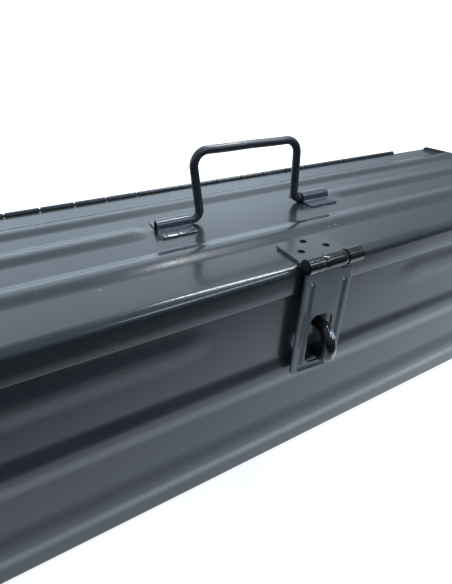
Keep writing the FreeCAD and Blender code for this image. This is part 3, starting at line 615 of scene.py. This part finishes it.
# ---- hasp flap: pressed plate with a groove round three sides, slot and chamfered foot
HX, HY, HZ, FY, FT = 2.5, -89.0, 146.0, -87.9, 1.6
LEAN = math.radians(6.0)


def flap_pt(u, v, y):
    return (HX + u * math.cos(LEAN) - v * math.sin(LEAN), y, HZ - v * math.cos(LEAN) - u * math.sin(LEAN))


def seg_d(u, v, a, b2):
    ax, ay = a
    bx, by = b2
    dx_, dy_ = bx - ax, by - ay
    t = max(0.0, min(1.0, ((u - ax) * dx_ + (v - ay) * dy_) / (dx_ * dx_ + dy_ * dy_)))
    return math.hypot(u - ax - t * dx_, v - ay - t * dy_)


GR = [(-12.4, 16.2), (-12.4, 72.6), (-11.6, 73.6), (8.6, 73.6), (12.2, 70.0), (12.2, 16.2)]


def groove(u, v):
    d = min(seg_d(u, v, GR[i], GR[i + 1]) for i in range(len(GR) - 1))
    g1 = 1.0 - sstep(d, 0.5, 2.7)
    p = min(math.hypot(u + 12.4, v - 14.6), math.hypot(u - 12.2, v - 14.6))
    g2 = 1.0 - sstep(p, 1.3, 2.3)
    return 0.95 * max(g1, 1.25 * g2)


us = [-17.8 + 35.6 * i / 90 for i in range(91)]
vs = [7.0 + (77.4 - 7.0) * j / 176 for j in range(177)]
verts, faces = [], []
for layer in (0, 1):
    for v in vs:
        for u in us:
            h = groove(u, v)
            soft = 0.22 * (1 - sstep(min(17.8 - abs(u), 77.4 - v), 0.0, 1.0))
            y = FY - FT / 2 + h + soft if layer == 0 else FY + FT / 2 + h * 0.85
            verts.append(flap_pt(u, v, y))
nu, nv = len(us), len(vs)
for j in range(nv - 1):
    for i in range(nu - 1):
        a_, b_, c_, d_ = j * nu + i, j * nu + i + 1, (j + 1) * nu + i + 1, (j + 1) * nu + i
        faces.append((a_, b_, c_, d_))
        o_ = nu * nv
        faces.append((d_ + o_, c_ + o_, b_ + o_, a_ + o_))
rim = [i for i in range(nu)] + [j * nu + nu - 1 for j in range(1, nv)] + [(nv - 1) * nu + i for i in range(nu - 2, -1, -1)] + [j * nu for j in range(nv - 2, 0, -1)]
for k in range(len(rim)):
    p, q = rim[k], rim[(k + 1) % len(rim)]
    faces.append((p, p + nu * nv, q + nu * nv, q))
flap = add_mesh("flap_plate", verts, faces, mat_hasp, "hasp", node="hasp_flap", slot="hasp_paint", sharp=38)


for side, u0 in (("left", -12.4), ("right", 12.2)):
    verts, faces = [], []
    seg, rings = 16, 5
    for r_ in range(rings):
        a = math.pi / 2 * r_ / rings
        for k in range(seg):
            t = 2 * math.pi * k / seg
            verts.append(flap_pt(u0 + 1.25 * math.cos(a) * math.cos(t), 14.6 + 1.25 * math.cos(a) * math.sin(t), FY - FT / 2 + 1.0 - 1.25 * math.sin(a)))
    verts.append(flap_pt(u0, 14.6, FY - FT / 2 - 0.25))
    for r_ in range(rings - 1):
        for k in range(seg):
            faces.append((r_ * seg + k, r_ * seg + (k + 1) % seg, (r_ + 1) * seg + (k + 1) % seg, (r_ + 1) * seg + k))
    top = (rings - 1) * seg
    faces += [(top + k, top + (k + 1) % seg, len(verts) - 1) for k in range(seg)]
    faces.append(tuple(range(seg))[::-1])
    add_mesh("flap_pip_" + side, verts, faces, mat_pip_painted_glint, "hasp", slot="hasp_paint", sharp=60)


def cutter(name, poly, y0, y1):
    n = len(poly)
    v3 = [flap_pt(u, v, y0) for u, v in poly] + [flap_pt(u, v, y1) for u, v in poly]
    fc = [tuple(range(n)), tuple(range(n, 2 * n))[::-1]] + [(i, (i + 1) % n, n + (i + 1) % n, n + i) for i in range(n)]
    me = bpy.data.meshes.new(name)
    me.from_pydata([(x / 1000, y / 1000, z / 1000) for x, y, z in v3], [], fc)
    bm = bmesh.new()
    bm.from_mesh(me)
    bmesh.ops.recalc_face_normals(bm, faces=bm.faces)
    bm.to_mesh(me)
    bm.free()
    o = bpy.data.objects.new(name, me)
    bpy.context.collection.objects.link(o)
    return o


slotp = []
for su, cv, a0 in ((-1, 36.5 + 5.5, 180), (1, 36.5 + 5.5, 90), (1, 71.2 - 5.5, 0), (-1, 71.2 - 5.5, -90)):
    for k in range(9):
        a = math.radians(a0 - 90 * k / 8)
        slotp.append(((8.5 - 5.5) * su + 5.5 * math.cos(a), cv - 5.5 * math.sin(a)))
cuts = [cutter("c_slot", slotp, -95, -80),
        cutter("c_br", [(17.9 + 2, 77.4 - 9.5), (17.7, 77.4 - 8.0), (16.9, 77.4 - 4.6), (13.9, 77.4 - 1.5), (9.6, 77.5), (9.6, 82), (20, 82)], -95, -80),
        cutter("c_bl", [(-20, 77.4 - 3.2), (-17.85, 77.4 - 2.9), (-17.1, 77.4 - 1.0), (-15.3, 77.45), (-15.3, 82), (-20, 82)], -95, -80),
        cutter("c_tr", [(17.9, 6.0), (17.9, 8.0), (17.2, 7.35), (16.0, 7.0), (16.0, 6.0)], -95, -80)]
for c in cuts:
    md = flap.modifiers.new(c.name, "BOOLEAN")
    md.operation = "DIFFERENCE"
    md.solver = "EXACT"
    md.object = c
bpy.context.view_layer.update()
dg = bpy.context.evaluated_depsgraph_get()
res = bpy.data.meshes.new_from_object(flap.evaluated_get(dg))
flap.modifiers.clear()
flap.data = res
for c in cuts:
    bpy.data.objects.remove(c)
res.polygons.foreach_set("use_smooth", [True] * len(res.polygons))
res.set_sharp_from_angle(angle=math.radians(38))
bv = flap.modifiers.new("edge", "BEVEL")
bv.width = 0.00028
bv.segments = 2
bv.limit_method = "ANGLE"
bv.angle_limit = math.radians(60)
bv.use_clamp_overlap = True


# ---- rolled knuckles: a curl of sheet with its lip showing
def knuckle(name, x0, x1, body, mat, slot, lip_deg, tail):
    """Ring of outer radius 4.75 with a small gap where the curl ends; the tail argument is not used."""
    seg = 44
    loops = []
    nx = max(4, int((x1 - x0) / 1.4))
    for i in range(nx + 1):
        x = x0 + (x1 - x0) * i / nx
        e = min(i, nx - i)
        tr = 0.55 if e == 0 else (0.10 if e == 1 else 0.0)
        ring_o, ring_i = [], []
        for k in range(seg + 1):
            a = math.radians(lip_deg + 350.0 * k / seg)
            ro = 4.75 - tr - 0.04 * (0.5 + vnoise(x / 2.0, k / 4.0))
            ring_o.append((x, HY + ro * math.cos(a), HZ + ro * math.sin(a)))
            ring_i.append((x, HY + 2.95 * math.cos(a), HZ + 2.95 * math.sin(a)))
        loops.append(ring_o + ring_i[::-1])
    return loft(name, loops, mat, body, slot=slot, sharp=45)


knuckle("knuckle_flap", HX - 8.35, HX + 8.35, "hasp", mat_knuckle, "hasp_paint", -62, None)
tabv = [flap_pt(-7.4, 3.6, FY - 0.8), flap_pt(8.4, 3.6, FY - 0.8), flap_pt(8.4, 7.4, FY - 0.8), flap_pt(-7.4, 7.4, FY - 0.8)]
tabv += [(x, y + 1.6, z) for x, y, z in tabv]
tab = add_mesh("flap_tab", tabv, [(0, 1, 2, 3), (7, 6, 5, 4), (0, 4, 5, 1), (1, 5, 6, 2), (2, 6, 7, 3), (3, 7, 4, 0)], mat_hasp, "hasp", slot="hasp_paint")
bv = tab.modifiers.new("edge", "BEVEL")
bv.width = 0.0003
bv.segments = 2

for n in ("lid_end_left", "lid_end_right", "hinge_leaf_box", "hinge_leaf_lid", "hasp_leaf", "hasp_pin"):
    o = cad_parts[n]
    bv = o.modifiers.new("edge", "BEVEL")
    bv.width = {"lid_end_left": 0.0003, "lid_end_right": 0.0003, "hasp_leaf": 0.00045, "hasp_pin": 0.0005}.get(n, 0.00022)
    bv.segments = 2
    bv.limit_method = "ANGLE"
    bv.angle_limit = math.radians(55)
    bv.use_clamp_overlap = True

# ---------------------------------------------------------------- stage
def plane(name, x0, x1, y0, y1, z, mat):
    me = bpy.data.meshes.new(name)
    me.from_pydata([(x0, y0, z), (x1, y0, z), (x1, y1, z), (x0, y1, z)], [], [(0, 1, 2, 3)])
    o = bpy.data.objects.new(name, me)
    bpy.context.collection.objects.link(o)
    me.materials.append(mat)
    return o


# pale floor seen by the camera
mf, nt, b = new_mat("pale_floor")
setp(b, "Base Color", (0.88, 0.885, 0.89))
setp(b, "Roughness", 0.95)
setp(b, "Specular IOR Level", 0.0)
setp(b, "Emission Color", (1.0, 1.0, 1.0))
setp(b, "Emission Strength", 0.72)
floor = plane("floor", -9, 9, -9, 9, 0.0, mf)
floor.visible_glossy = False
floor.visible_diffuse = False

# what the object sees below it: a light table near the box, a darker room in front and to the left
mb = bpy.data.materials.new("bounce")
mb.use_nodes = True
nt = mb.node_tree
for n in list(nt.nodes):
    nt.nodes.remove(n)
out = nt.nodes.new("ShaderNodeOutputMaterial")
em = nt.nodes.new("ShaderNodeEmission")
nt.links.new(em.outputs[0], out.inputs["Surface"])
g = G(nt)
sx, sy, sz = g.sep()
# distance in front of the box, stretched so that the left side falls dark sooner
front = g.math("MULTIPLY", sy, -1.0)
reach = g.math("ADD", 0.182, g.math("MULTIPLY", sx, 0.18))
t = g.math("DIVIDE", g.math("SUBTRACT", front, reach), 0.09)
dark = g.math("SMOOTH_MAX", 0.0, g.math("MINIMUM", t, 1.0), 0.2)
lum = g.mix(dark, 1.15, 0.07, "FLOAT")
left = g.ramp(g.math("ADD", g.math("MULTIPLY", sx, 0.8), 0.7), [(0.30, 0.35), (0.75, 1.0)])
lum = g.math("MULTIPLY", lum, left)
em.inputs["Color"].default_value = (0.83, 0.94, 1.06, 1)
nt.links.new(lum, em.inputs["Strength"])
bounce = plane("bounce", -6, 6, -6, 6, -0.002, mb)
bounce.visible_camera = False
bounce.visible_shadow = False

w = bpy.data.worlds.new("studio")
bpy.context.scene.world = w
w.use_nodes = True
nt = w.node_tree
bg = nt.nodes["Background"]
tcw = nt.nodes.new("ShaderNodeTexCoord")
spw = nt.nodes.new("ShaderNodeSeparateXYZ")
nt.links.new(tcw.outputs["Generated"], spw.inputs[0])


class W(G):
    def __init__(self, nt):
        self.nt = nt


g = W(nt)
dx, dy, dz = spw.outputs


def step(v, a, b):
    """0 below a, 1 above b, smooth in between (a may be above b)."""
    n = nt.nodes.new("ShaderNodeMapRange")
    n.interpolation_type = "SMOOTHSTEP"
    n.clamp = True
    n.inputs["From Min"].default_value = min(a, b)
    n.inputs["From Max"].default_value = max(a, b)
    n.inputs["To Min"].default_value = 0.0 if a < b else 1.0
    n.inputs["To Max"].default_value = 1.0 if a < b else 0.0
    nt.links.new(v, n.inputs["Value"])
    return n.outputs[0]


back = step(dy, -0.15, 0.75)
high = step(dz, 0.30, 0.95)
wall = g.math("MULTIPLY", back, g.mix(high, 1.25, 0.60, "FLOAT"))
wall = g.math("MULTIPLY", wall, g.mix(step(dx, 0.38, 0.85), 1.0, 0.25, "FLOAT"))
roomy = g.math("MULTIPLY", step(dz, -0.2, 0.9), 0.38)
rest = g.math("ADD", 0.05, roomy)
side = g.math("MULTIPLY", step(dx, 0.2, 0.95), 0.10)
light = g.math("ADD", g.math("MAXIMUM", wall, rest), side)
lp = nt.nodes.new("ShaderNodeLightPath")
strength = g.mix(lp.outputs["Is Camera Ray"], light, 1.0, "FLOAT")
colw = g.mix(lp.outputs["Is Camera Ray"], (0.79, 0.94, 1.09), (1.0, 1.0, 1.0))
nt.links.new(colw, bg.inputs["Color"])
nt.links.new(strength, bg.inputs["Strength"])


def area(name, loc, target, size, power, col=(1, 1, 1), size_y=None, up="Y"):
    l = bpy.data.lights.new(name, "AREA")
    l.shape = "RECTANGLE"
    l.size = size
    l.size_y = size_y or size
    l.energy = power
    l.color = col
    o = bpy.data.objects.new(name, l)
    bpy.context.collection.objects.link(o)
    o.location = loc
    o.rotation_euler = (Vector(target) - Vector(loc)).to_track_quat("-Z", up).to_euler()
    return o


# soft sources: a window band behind and above, and a cooler strip in front and above
a1 = area("window_band", (1.02, 0.42, 2.40), (-0.10, -0.08, 0.14), 1.9, 34, col=(0.95, 0.98, 1.0), size_y=0.17)
a2 = area("front_strip", (0.89, -1.55, 1.60), (-0.10, -0.08, 0.14), 1.5, 10, col=(0.66, 0.82, 1.0), size_y=0.18)

# ---------------------------------------------------------------- camera
cam_d = bpy.data.cameras.new("cam")
cam = bpy.data.objects.new("cam", cam_d)
bpy.context.collection.objects.link(cam)
bpy.context.scene.camera = cam
F_PX, CX, CY = 417.842, 225.932, 216.271
R_WC = [[0.8853598, -0.4648736, -0.0055213], [-0.1811583, -0.3340331, -0.9249884], [0.4281584, 0.8199478, -0.3799552]]
cam.matrix_world = Matrix([
    [R_WC[0][0], -R_WC[1][0], -R_WC[2][0], -0.151641],
    [R_WC[0][1], -R_WC[1][1], -R_WC[2][1], -0.249951],
    [R_WC[0][2], -R_WC[1][2], -R_WC[2][2], 0.261524],
    [0, 0, 0, 1]])
cam_d.sensor_fit = "AUTO"
cam_d.sensor_width = 36.0
cam_d.lens = F_PX * 36.0 / 584.0
cam_d.shift_x = (226.0 - CX) / 584.0
cam_d.shift_y = (CY - 292.0) / 584.0
cam_d.clip_start = 0.01
cam_d.clip_end = 50

sc = bpy.context.scene
sc.view_settings.view_transform = "Standard"
sc.view_settings.look = "None"
